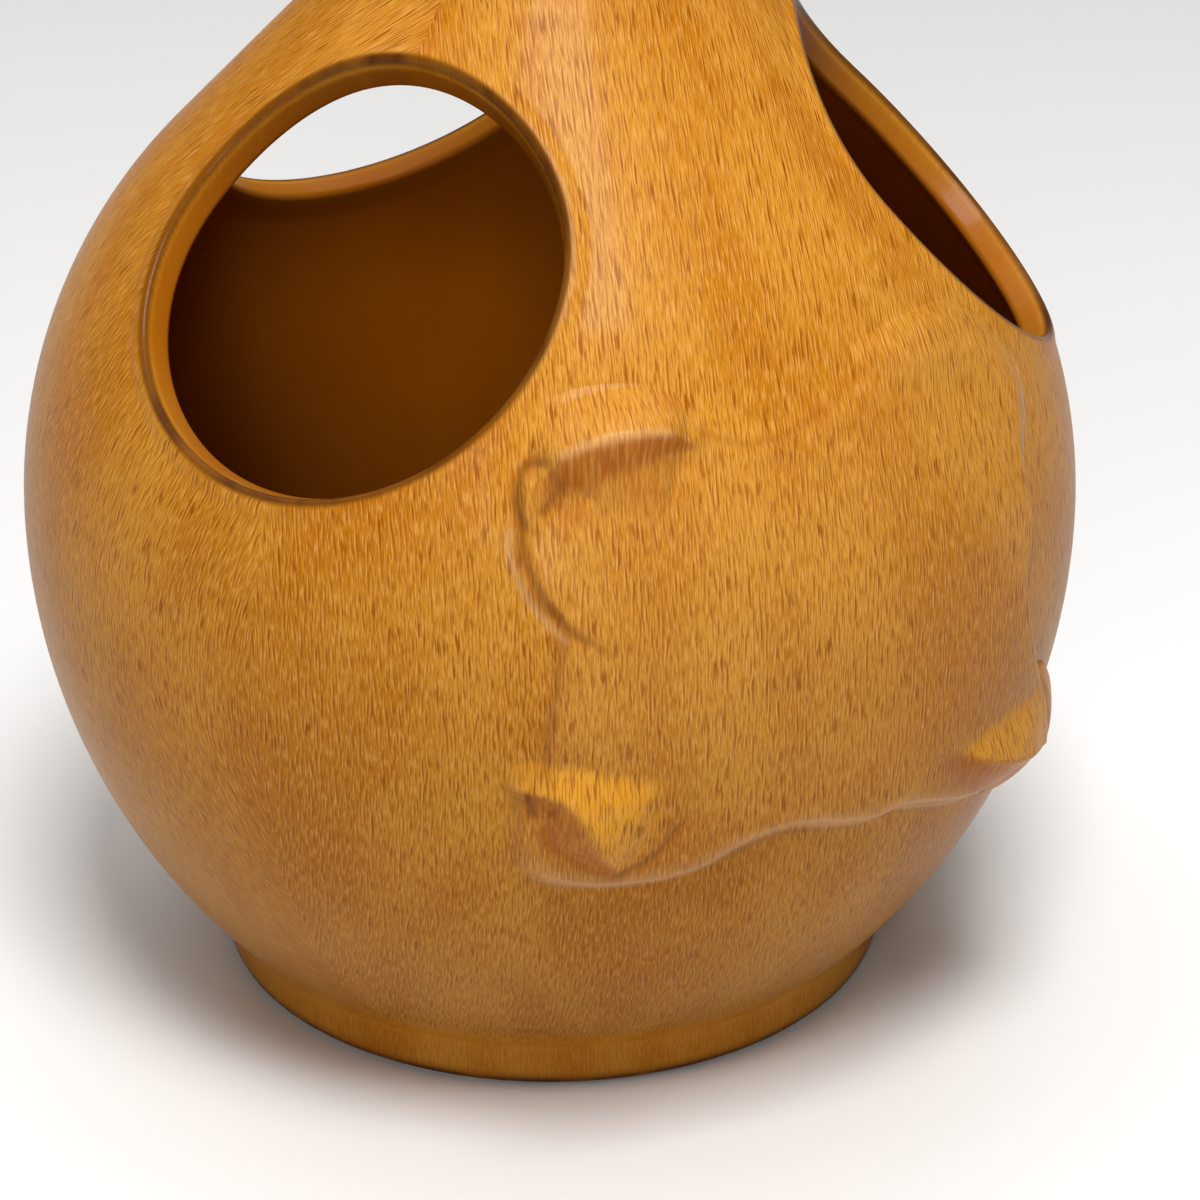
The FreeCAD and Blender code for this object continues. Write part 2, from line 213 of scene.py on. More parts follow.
def lipSection():
    # Radius from the window's axis and level above the outer face, a closed loop round the cut edge
    radius, edge, wall = windows["radius"], windows["edgeRound"], pot["wall"]
    proud, feather = windows["proud"], windows["feather"]
    flange, rounding, face = windows["flangeSteps"], windows["roundSteps"], windows["faceSteps"]
    out = []
    for step in range(flange + 1):  # flange feathered out onto the wall
        share = step/flange
        out.append((windows["outerFlange"] + (radius + edge - windows["outerFlange"])*share,
                    feather + (proud - feather)*smoothStep(share)))
    for step in range(1, rounding + 1):
        angle = math.pi/2*step/rounding
        out.append((radius + edge - edge*math.sin(angle), proud - edge + edge*math.cos(angle)))
    for step in range(1, face + 1):
        out.append((radius, proud - edge - (wall + 2*proud - 2*edge)*step/face))
    for step in range(1, rounding + 1):
        angle = math.pi/2*step/rounding
        out.append((radius + edge - edge*math.cos(angle), -wall - proud + edge - edge*math.sin(angle)))
    for step in range(1, rounding + 1):
        share = step/rounding
        out.append((radius + edge + (windows["innerFlange"] - radius - edge)*share,
                    -wall - proud + (proud - feather)*smoothStep(share)))
    out.append((windows["innerFlange"] + windows["backReach"], -wall + windows["backDepth"]))
    out.append((windows["outerFlange"] + windows["backReach"], -windows["backDepth"]))
    return out


def makeLip(side, turn):
    across, up, outward = windowAxes(turn)
    bm = bmesh.new()
    verts = [bm.verts.new((radius, 0, level)) for radius, level in lipSection()]
    edges = [bm.edges.new(pair) for pair in zip(verts, verts[1:] + verts[:1])]
    bmesh.ops.spin(bm, geom=verts + edges, cent=(0, 0, 0), axis=(0, 0, 1), angle=math.tau,
                   steps=windows["ringSteps"], use_merge=True)
    bmesh.ops.remove_doubles(bm, verts=bm.verts, dist=windows["mergeDistance"])
    middle = Vector((0, 0, pot["bellyHeight"]))
    for vert in bm.verts:
        taper = 1 + vert.co.z/pot["shoulderCurve"]  # the edge is cut towards the shoulder's centre
        base = middle + (across*vert.co.x + up*vert.co.y)*taper
        vert.co = onWall(base, outward, vert.co.z)
    bmesh.ops.recalc_face_normals(bm, faces=bm.faces)
    lip = addObject(f"window_lip_{side}_skin", bm)
    shadeSmooth(lip, windows["sharpAngle"])
    return lip


body = makeBody()
cutWindows(body)
shadeSmooth(body, pot["sharpAngle"])
print("pot body", len(body.data.polygons), "faces")
lips = {side: makeLip(side, turn) for side, turn in windows["turns"].items()}
print("window lips", [len(lip.data.polygons) for lip in lips.values()])

# Parchment scroll, a soft relief as pressed in a mould; places are x and z in millimetres, seen from the front
scroll = {
    "cells": (220, 170), "crowding": 0.5, "margin": 4.2,
    "corners": [(-46.5, 124.5), (-48.5, 60.0), (49.0, 57.5), (47.5, 122.5)],
    "thickness": 2.33, "topThickness": 0.8, "edgeOutside": 1.2, "edgeInside": 2.2, "backing": 0.0016,
    "outline": [(-45.7, 119.6), (-46.6, 113.0), (-45.6, 106.0), (-42.6, 101.4), (-43.4, 95.5), (-44.8, 87.0),
                (-45.8, 79.0), (-48.4, 73.0), (-48.2, 61.6), (-44.4, 57.6), (-37.6, 55.6), (-28.3, 55.8),
                (-21.3, 57.4), (-16.7, 60.0), (-11.6, 61.9), (-5.6, 62.4), (1.0, 60.4), (8.6, 58.8), (13.6, 59.2),
                (20.6, 56.8), (30.7, 52.8), (41.5, 50.4), (48.6, 53.6), (51.0, 60.0), (49.0, 69.0), (45.0, 77.5),
                (42.6, 85.0), (41.2, 91.0), (43.2, 99.0), (43.6, 109.0), (46.6, 115.0), (46.0, 122.5), (40.5, 128.6),
                (30.0, 131.4), (20.0, 131.6), (10.0, 129.6), (3.0, 128.0), (-4.6, 126.2), (-10.0, 125.6),
                (-15.0, 126.8), (-20.0, 130.6), (-26.0, 132.4), (-35.0, 131.6), (-42.4, 126.4)],
    # Each rolled corner: crest points as (x, z, height, outer width, inner width), clockwise round the scroll.
    # The upper left one is folded over, and a last number gives the width of its steep brown face.
    "rolls": {
        "ear": [(-44.1, 115.8, 1.6, 1.6, 2.6), (-43.8, 118.1, 2.6, 2.0, 3.2), (-42.8, 120.9, 3.4, 2.4, 3.6),
                (-40.9, 122.6, 3.0, 2.4, 3.2)],
        "upper_left": [(-40.4, 122.8, 3.8, 3.0, 5.0, 4.0), (-37.8, 124.9, 6.4, 4.5, 8.0, 5.8),
                       (-32.8, 126.3, 7.3, 6.0, 10.5, 4.6), (-27.0, 127.0, 7.2, 6.4, 11.5, 3.8),
                       (-23.0, 126.9, 5.6, 6.0, 9.5, 2.4), (-20.6, 126.0, 2.6, 4.5, 5.0, 1.4)],
        "upper_right": [(14.0, 131.0, 0.9, 4.0, 4.0), (21.0, 129.6, 1.7, 6.0, 5.0), (34.0, 127.0, 1.4, 7.0, 6.0),
                        (44.0, 118.5, 1.5, 4.0, 4.0)],
        "lower_right": [(47.6, 57.6, 5.6, 5.0, 12.0), (41.0, 59.0, 6.2, 8.5, 11.0), (32.0, 62.4, 4.6, 7.5, 8.0),
                        (25.0, 66.0, 2.0, 4.5, 4.5)],
        "lower_right_side": [(46.4, 71.0, 1.6, 2.5, 5.0), (48.0, 64.0, 3.4, 3.6, 9.0), (47.6, 57.6, 5.6, 5.0, 12.0)],
        "lower_left": [(-34.0, 59.6, 2.4, 3.0, 4.0), (-35.6, 62.8, 4.4, 5.0, 7.5), (-37.2, 66.9, 6.2, 7.5, 10.0),
                       (-39.0, 70.6, 6.6, 8.0, 12.0), (-41.4, 74.2, 6.0, 7.0, 6.5), (-43.9, 75.2, 4.6, 5.0, 5.0),
                       (-46.8, 74.8, 2.6, 2.8, 4.0)],
    },
    # Creases: points, half width, depth, and the strength of the painted shade that darkens them
    "creases": [
        ([(-45.0, 116.4), (-45.6, 112.0), (-44.4, 106.4), (-42.6, 102.9)], 1.3, 0.55, 0.50),
        ([(-43.2, 103.9), (-41.2, 100.9), (-38.6, 98.8)], 1.2, 0.40, 0.45),
        ([(-39.8, 99.5), (-37.8, 98.3), (-35.6, 97.3)], 0.8, 0.20, 0.30),
        ([(-40.3, 123.9), (-42.9, 123.6), (-44.7, 120.0), (-45.1, 115.4)], 1.1, 0.6, 0.55),
        ([(-39.5, 122.8), (-39.1, 120.6), (-41.8, 117.5)], 1.1, 0.6, 0.50),
        ([(-41.6, 100.1), (-42.8, 96.0), (-44.2, 87.0), (-45.2, 78.0)], 0.9, 0.20, 0.25),
        ([(-47.0, 74.0), (-46.4, 71.0)], 1.1, 0.5, 0.75),
        ([(-26.0, 67.6), (-27.8, 63.6), (-30.6, 60.8), (-33.6, 59.0)], 1.3, 0.5, 0.35),
        ([(-17.8, 127.0), (-13.7, 125.2), (-9.0, 124.4), (-3.8, 125.2), (2.4, 126.8)], 1.0, 0.15, 0.18),
    ],
    # Brown stains, and at (-38.0, 117.4) a painted shadow under the upper left roll: middle, half width, half height,
    # strength
    "stains": [((20.8, 126.2), 1.7, 4.2, 0.60), ((1.4, 127.2), 2.4, 2.6, 0.50), ((7.6, 129.6), 3.0, 1.6, 0.40),
               ((-38.0, 117.4), 5.5, 3.4, 0.55), ((-43.0, 99.0), 2.6, 2.0, 0.40), ((-20.0, 131.6), 5.0, 2.4, 0.45)],
    # Painted highlights along the sheet's right edge, the upper left crest and the left edge: points, half width,
    # strength
    "highlightLines": [
        ([(47.8, 120.0), (47.4, 115.4), (44.4, 109.5), (43.9, 99.2), (41.4, 91.0), (43.4, 84.0), (45.6, 77.0),
          (47.8, 70.5)], 0.7, 0.70),
        ([(-37.8, 124.9), (-32.8, 126.3), (-27.0, 127.0), (-23.4, 126.9)], 1.2, 0.25),
        ([(-46.7, 115.0), (-47.3, 111.6), (-46.1, 105.8), (-44.0, 102.0), (-41.8, 99.2)], 1.0, 0.28),
    ],
    # Bottom edge: strength of the painted reflection on it and of the painted shadow under it
    "bottomReflection": 0.42, "bottomShade": 0.34, "bottomBelow": (67, 4), "bottomMiddle": -4, "bottomWithin": (44, 6),
    "reflectionBand": (0.8, 2.1), "shadeBand": (-2.2, 1.4), "sheetPale": 0.03, "sheetPaleHeight": 1.5,
    # The sheet thins towards its top edge, which is drawn out wider
    "topFade": (122, 22), "topOutside": 1.2, "topInside": 1.5,
    # Fall of a roll from its crest, as shares of a slope and a bulge; the fold adds a step and a steep face
    "sideBlend": 3, "outerFall": (0.7, 0.3), "innerFall": (0.6, 0.4), "foldFall": (0.55, 0.07, 0.38), "foldStep": 8,
    "rollBlend": 0.7, "leastBlend": 1e-6,
    # Painted light on the lower rolls' up-facing flaps, which are also yellower with thick glaze; painted shade, with
    # browner glaze, on the rolls' down-facing sides; painted shade in the creases
    "liftedAt": 2.5, "innerFrom": (0.35, 0.4), "poolAndLightAt": 4, "rollShadeAt": 1.8, "rollShadeShare": 0.85, "rollShadeDown": 0.25,
    "steepFrom": 0.2, "steepTo": (0.75, 0.4), "foldShade": (0.45, 0.55),
    "creaseAt": 0.8, "creaseShade": 0.8, "creaseSpread": 2,
    # The patch's border lies under the wall
    "borderLift": 0.16, "borderOver": 0.05, "borderUnder": 0.12,
    "loopSteps": 8, "lineSteps": 5, "crestSteps": 6, "tangentSteps": 4, "smoothSteps": 6, "sharpAngle": 60,
}
farAway = 1e9
leastRise = 1e-9


def smoothRamp(share):
    return smoothStep(numpy.clip(share, 0, 1))


def curvePoints(before, at, after, beyond, steps):
    # Points of a smooth curve from each place towards the next
    parts = []
    for step in range(steps):
        t = step/steps
        parts.append(0.5*(2*at + (after - before)*t + (2*before - 5*at + 4*after - beyond)*t**2
                          + (3*at - before - 3*after + beyond)*t**3))
    return numpy.stack(parts, 1).reshape(-1, at.shape[1])


def roundedLoop(points):
    # A closed curve through the points
    points = numpy.array(points)
    return curvePoints(numpy.roll(points, 1, 0), points, numpy.roll(points, -1, 0), numpy.roll(points, -2, 0),
                       scroll["loopSteps"])


def roundedLine(points, steps):
    # An open curve through the points
    points = numpy.array(points)
    ends = numpy.concatenate((2*points[:1] - points[1:2], points, 2*points[-1:] - points[-2:-1]))
    return numpy.concatenate((curvePoints(ends[:-3], ends[1:-2], ends[2:-1], ends[3:], steps), points[-1:]))


def distanceTo(places, first, last):
    # How far each place lies from a straight piece of line
    way = last - first
    share = numpy.clip(((places - first) @ way)/(way @ way), 0, 1)
    return numpy.hypot(*(places - first - share[:, None]*way).T)


def inset(places, loop):
    # How far inside the loop each place lies, negative outside
    nearest = numpy.full(len(places), farAway)
    inside = numpy.zeros(len(places), bool)
    for first, last in zip(loop, numpy.roll(loop, -1, 0)):
        way = last - first
        nearest = numpy.minimum(nearest, distanceTo(places, first, last))
        crosses = (first[1] > places[:, 1]) != (last[1] > places[:, 1])
        rise = way[1] if abs(way[1]) > leastRise else leastRise
        inside ^= crosses & (places[:, 0] < first[0] + (places[:, 1] - first[1])*way[0]/rise)
    return numpy.where(inside, nearest, -nearest)


def nearness(places, points, halfWidth):
    # One on a line and falling to nothing beside it
    points = roundedLine(points, scroll["lineSteps"])
    nearest = numpy.full(len(places), farAway)
    for first, last in zip(points, points[1:]):
        nearest = numpy.minimum(nearest, distanceTo(places, first, last))
    return 1 - smoothRamp(nearest/halfWidth)


def rollHeight(places, crest):
    # Height of one rolled corner, how far each place is on the inner side, and how far down from the crest
    crest = roundedLine(crest, scroll["crestSteps"])
    best = numpy.full(len(places), farAway)
    height, side, down = numpy.zeros((3, len(places)))
    (outerSlope, outerBulge), (innerSlope, innerBulge) = scroll["outerFall"], scroll["innerFall"]
    foldSlope, foldEdge, foldFace = scroll["foldFall"]
    for first, last in zip(crest, crest[1:]):
        way = last[:2] - first[:2]
        offset = places - first[:2]
        share = numpy.clip((offset @ way)/(way @ way), 0, 1)
        distance = numpy.hypot(*(offset - share[:, None]*way).T)
        across = (way[1]*offset[:, 0] - way[0]*offset[:, 1])/numpy.hypot(*way)
        top, outer, flap, *steep = first[2:, None] + (last - first)[2:, None]*share
        inner = smoothRamp(0.5 + across/scroll["sideBlend"])
        t = numpy.clip(distance/(outer + (flap - outer)*inner), 0, 1)
        bulge = numpy.sqrt(1 - t**2)
        if steep:
            outerFall = outerSlope*(1 - smoothRamp(t)) + outerBulge*bulge
            face = 1 - smoothRamp(distance/steep[0])
            innerFall = foldSlope*(1 - t) + foldEdge*smoothRamp((1 - t)*scroll["foldStep"]) + foldFace*face
            t = distance/steep[0]
        else:
            outerFall = outerSlope*(1 - t) + outerBulge*bulge
            innerFall = innerSlope*(1 - t) + innerBulge*bulge
        fall = top*(outerFall*(1 - inner) + innerFall*inner)
        nearer = distance < best
        best = numpy.where(nearer, distance, best)
        height = numpy.where(nearer, fall, height)
        side = numpy.where(nearer, inner, side)
        down = numpy.where(nearer, t, down)
    return height, side, down


def softTop(first, second, blend):
    mixed = numpy.clip(0.5 + 0.5*(first - second)/blend, 0, 1)
    return second + (first - second)*mixed + blend*mixed*(1 - mixed)


def within(values, limit):
    # One well below a limit, falling to nothing at it; the limit is a place and the width of the fall
    place, over = limit
    return smoothRamp((place - values)/over)


def band(values, middleAndWidth):
    middle, width = middleAndWidth
    return numpy.exp(-((values - middle)/width)**2)


def scrollRelief(places):
    # Height over the wall in millimetres, and the fields that the glaze reads
    x, z = places.T
    depth = inset(places, roundedLoop(scroll["outline"]))
    low = within(z, scroll["topFade"])
    thickness = scroll["topThickness"] + (scroll["thickness"] - scroll["topThickness"])*low
    outside = scroll["edgeOutside"] + scroll["topOutside"]*(1 - low)
    span = outside + scroll["edgeInside"] + scroll["topInside"]*(1 - low)
    height = thickness*smoothRamp((depth + outside)/span)
    thin, poolAndLight, stainAndShade = numpy.zeros((3, len(places)))
    innerFrom, innerOver = scroll["innerFrom"]
    steepTo, steepOver = scroll["steepTo"]
    lowerFaceShade, steepFaceShade = scroll["foldShade"]
    for name, crest in scroll["rolls"].items():
        rise, side, down = rollHeight(places, crest)
        blend = scroll["rollBlend"]*smoothRamp(rise) + scroll["leastBlend"]  # no blend off the roll
        height = softTop(rise, height, blend)
        inner = smoothRamp((side - innerFrom)/innerOver)
        # Lower rolls: painted light on the up-facing flap, which is also yellower with thick glaze, and painted shade
        # with browner glaze on the outer, down-facing side
        if name.startswith("lower"):
            poolAndLight = numpy.maximum(poolAndLight, smoothRamp(rise/scroll["poolAndLightAt"])*inner)
            shadedSide = smoothRamp(rise/scroll["rollShadeAt"])*(1 - inner)*scroll["rollShadeShare"]
            stainAndShade = numpy.maximum(stainAndShade, shadedSide*smoothRamp(down/scroll["rollShadeDown"]))
        # Upper left roll: painted shade over its lower face, deepest on the steep face under the crest, which is also
        # browner where the glaze breaks
        elif name == "upper_left":
            steep = smoothRamp(down/scroll["steepFrom"])*(1 - smoothRamp((down - steepTo)/steepOver))
            lifted = smoothRamp(rise/scroll["liftedAt"])
            stainAndShade = numpy.maximum(stainAndShade, lifted*inner*(lowerFaceShade + steepFaceShade*steep))
    for points, halfWidth, dip, brown in scroll["creases"]:
        close = nearness(places, points, halfWidth)
        height = height - dip*close*smoothRamp(height/scroll["creaseAt"])
        # Painted shade darkening the crease
        thin = numpy.maximum(thin, scroll["creaseShade"]*brown*close)
        stainAndShade = numpy.maximum(stainAndShade, brown*nearness(places, points, halfWidth*scroll["creaseSpread"]))
    for middle, halfWidth, halfHeight, brown in scroll["stains"]:
        away = numpy.hypot((x - middle[0])/halfWidth, (z - middle[1])/halfHeight)
        stainAndShade = numpy.maximum(stainAndShade, brown*(1 - smoothRamp(away)))
    # Painted reflection on the bottom edge and painted shadow under it; the raised sheet is a little paler; painted
    # highlight lines
    bottom = within(z, scroll["bottomBelow"])*within(numpy.abs(x - scroll["bottomMiddle"]), scroll["bottomWithin"])
    pale = scroll["sheetPale"]*smoothRamp(height/scroll["sheetPaleHeight"])
    pale = pale + scroll["bottomReflection"]*bottom*band(depth, scroll["reflectionBand"])
    thin = numpy.maximum(thin, scroll["bottomShade"]*bottom*band(depth, scroll["shadeBand"]))
    for points, halfWidth, strength in scroll["highlightLines"]:
        pale = numpy.maximum(pale, strength*nearness(places, points, halfWidth))
    return numpy.maximum(height, 0), {"thin": thin, "poolAndLight": poolAndLight, "pale": pale, "stainAndShade": stainAndShade}


def spreadOver(shares):
    # Places of a square grid stretched over the scroll and a margin round it
    loop = roundedLoop(scroll["outline"])
    ahead, wide = scroll["tangentSteps"], scroll["smoothSteps"]
    along = numpy.roll(loop, -ahead, 0) - numpy.roll(loop, ahead, 0)
    along /= numpy.hypot(*along.T)[:, None]
    loop = loop + scroll["margin"]*numpy.stack((along[:, 1], -along[:, 0]), 1)
    loop = sum(numpy.roll(loop, step, 0) for step in range(-wide, wide + 1))/(2*wide + 1)
    starts = [int(numpy.argmin(numpy.hypot(*(loop - corner).T))) for corner in numpy.array(scroll["corners"])]
    sides = []
    for first, last in zip(starts, starts[1:] + starts[:1]):
        run = loop[numpy.arange(first, last + 1 if last > first else last + len(loop) + 1) % len(loop)]
        gone = numpy.concatenate(([0], numpy.cumsum(numpy.hypot(*numpy.diff(run, axis=0).T))))
        sides.append((gone/gone[-1], run))

    def sample(side, share):
        gone, run = sides[side]
        return numpy.stack((numpy.interp(share, gone, run[:, 0]), numpy.interp(share, gone, run[:, 1])), 1)

    u, v = shares.T
    left, bottom, right, top = sample(0, 1 - v), sample(1, u), sample(2, v), sample(3, 1 - u)
    u, v = u[:, None], v[:, None]
    upperLeft, lowerLeft, lowerRight, upperRight = (loop[start] for start in starts)
    flat = (1 - v)*((1 - u)*lowerLeft + u*lowerRight) + v*((1 - u)*upperLeft + u*upperRight)
    return (1 - v)*bottom + v*top + (1 - u)*left + u*right - flat


def bellyRadius(height):
    rise = height - pot["bellyHeight"]
    if rise < 0:
        return bellyCentre + math.sqrt(pot["bellyCurve"]**2 - rise**2)
    return math.sqrt(pot["shoulderCurve"]**2 - rise**2)


def onBelly(x, z, lift):
    # A place on the belly's front, lifted square to the wall
    reach = bellyRadius(z)
    centre = bellyCentre if z < pot["bellyHeight"] else 0
    y = -math.sqrt(reach**2 - x**2)
    normal = Vector((x*(reach - centre)/reach, y*(reach - centre)/reach, z - pot["bellyHeight"])).normalized()
    return Vector((x, y, z)) + normal*lift


def storeField(mesh, name, values):
    field = mesh.attributes.new(name, "FLOAT", "POINT")
    field.data.foreach_set("value", numpy.asarray(values, dtype=numpy.float32))


def storeSeat(mesh):
    seat = mesh.attributes.new("seat", "FLOAT_VECTOR", "POINT")
    seat.data.foreach_set("vector", numpy.array([vert.co for vert in mesh.vertices], dtype=numpy.float32).ravel())


def makeScroll():
    bm = bmesh.new()
    across, up = scroll["cells"]
    bmesh.ops.create_grid(bm, x_segments=across, y_segments=up, size=0.5)
    bm.verts.ensure_lookup_table()
    shares = numpy.array([(vert.co.x + 0.5, vert.co.y + 0.5) for vert in bm.verts])
    shares += scroll["crowding"]*(0.5 - 0.5*numpy.cos(math.pi*shares) - shares)  # finer cells near the corners
    places = spreadOver(shares)
    height, fields = scrollRelief(places)
    rim = numpy.minimum(shares, 1 - shares).min(1)
    height += scroll["borderLift"]*smoothRamp(rim/scroll["borderOver"]) - scroll["borderUnder"]
    seat = bm.verts.layers.float_vector.new("seat")
    for vert, place, lift in zip(bm.verts, places, height):
        vert[seat] = onBelly(place[0]/1000, place[1]/1000, 0)
        vert.co = onBelly(place[0]/1000, place[1]/1000, lift/1000)
    bmesh.ops.recalc_face_normals(bm, faces=bm.faces)
    if bm.faces[0].normal.y > 0:
        bmesh.ops.reverse_faces(bm, faces=bm.faces)
    for name, values in fields.items():
        layer = bm.verts.layers.float.new(name)
        for vert, value in zip(bm.verts, values):
            vert[layer] = value
    bmesh.ops.solidify(bm, geom=bm.faces, thickness=scroll["backing"])
    sheet = addObject("scroll_skin", bm)
    shadeSmooth(sheet, scroll["sharpAngle"])
    return sheet


scrollSkin = makeScroll()
print("scroll", len(scrollSkin.data.polygons), "faces")

glaze = {
    # Colours; the inside colour is painted shade in the pot and on the windows' cut faces, the pale line colour paints
    # highlights and a reflection on the scroll
    "light": (0.570, 0.240, 0.0210), "deep": (0.465, 0.158, 0.0055), "tick": (0.300, 0.080, 0.0004),
    "pale": (0.680, 0.330, 0.0700), "streak": (0.340, 0.098, 0.0006), "brown": (0.085, 0.022, 0.0030),
    "paleLine": (0.72, 0.46, 0.26), "stainAndShade": (0.400, 0.098, 0.0005),
    "poolAndLight": (0.840, 0.360, 0.0140), "inside": (0.360, 0.088, 0.0012), "clay": (0.42, 0.30, 0.20),
    # Painted shade darker down the belly, and painted light a little lighter again on the foot; heights in metres
    "lowShade": 0.60, "shadeFrom": 0.125, "shadeTo": 0.020, "footLight": 0.25, "footLightRange": (0.015, 0.008),
    # Noises: coordinates per metre round the pot, their upright stretch, a shift, and detail
    "mottle": (85, 0.45, 7.0, 4.0), "patchy": (330, 0.5, 3.0, 2.0), "cloud": (34, 0.6, 9.0, 2.0),
    "ticks": (2400.0, 0.10, 1.0, 1.5), "grain": (3600.0, 0.12, 5.0, 2.0), "runs": (1440.0, 0.10, 4.0, 2.0),
    "noiseRoughness": 0.5, "waver": 0.2, "wrap": 0.080, "lean": 0.35, "sectorShift": 0.05, "edgeShift": 0.00024,
    # Ranges of noise that become marks
    "tickRange": (0.50, 0.68), "cloudRange": (0.38, 0.60), "streakRange": (0.50, 0.66), "paleRange": (0.50, 0.34),
    "patchRange": (0.35, 0.65), "tickHeights": (0.02, 0.09),
    # Strengths; a pair is a gain and what is left at none of it
    "cloudShare": 0.55, "mottleShare": 0.45, "poolAndLightShare": 0.8, "grainShare": 0.65, "tickHighlightShare": 0.50,
    "insideShare": 0.85, "tickDepth": (0.45, 0.55), "tickFade": (0.45, 0.55), "runDepth": (0.75, 0.35),
    "thinDepth": (0.25, 0.75),
    "roughness": 0.26, "roughMottle": 0.14, "roughBare": 0.5, "roughThin": -0.10,
    "grainRelief": 0.5, "bumpStrength": 0.22, "bumpDistance": 0.0002,
    "shader": {"IOR": 1.40, "Specular IOR Level": 0.08, "Coat Weight": 0.04, "Coat Roughness": 0.10},
}


def plug(tree, socket, value):
    # Links a node's output, or sets a plain value
    if hasattr(value, "is_linked"):
        tree.links.new(value, socket)
    else:
        socket.default_value = value


def addNode(tree, kind, **inputs):
    node = tree.nodes.new(kind)
    for name, value in inputs.items():
        plug(tree, node.inputs[name.replace("_", " ")], value)
    return node


def mathNode(tree, operation, first, second=0.0, third=0.0):
    node = tree.nodes.new("ShaderNodeMath")
    node.operation = operation
    for socket, value in zip(node.inputs, (first, second, third)):
        plug(tree, socket, value)
    return node.outputs[0]


def vectorNode(tree, operation, first, second=None):
    node = tree.nodes.new("ShaderNodeVectorMath")
    node.operation = operation
    plug(tree, node.inputs[0], first)
    if second is not None:
        plug(tree, node.inputs["Scale" if operation == "SCALE" else 1], second)
    return node.outputs["Value" if operation == "LENGTH" else "Vector"]


def ramp(tree, value, low, high):
    node = addNode(tree, "ShaderNodeMapRange", Value=value, From_Min=low, From_Max=high)
    node.interpolation_type = "SMOOTHSTEP"
    return node.outputs["Result"]


def mixColour(tree, factor, first, second, blend="MIX"):
    node = tree.nodes.new("ShaderNodeMix")
    node.data_type = "RGBA"
    node.blend_type = blend
    for socket, value in ((node.inputs[0], factor), (node.inputs[6], first), (node.inputs[7], second)):
        plug(tree, socket, (*value, 1) if isinstance(value, tuple) else value)
    return node.outputs[2]


def field(tree, name, output="Fac"):
    node = tree.nodes.new("ShaderNodeAttribute")
    node.attribute_name = name
    return node.outputs[output]


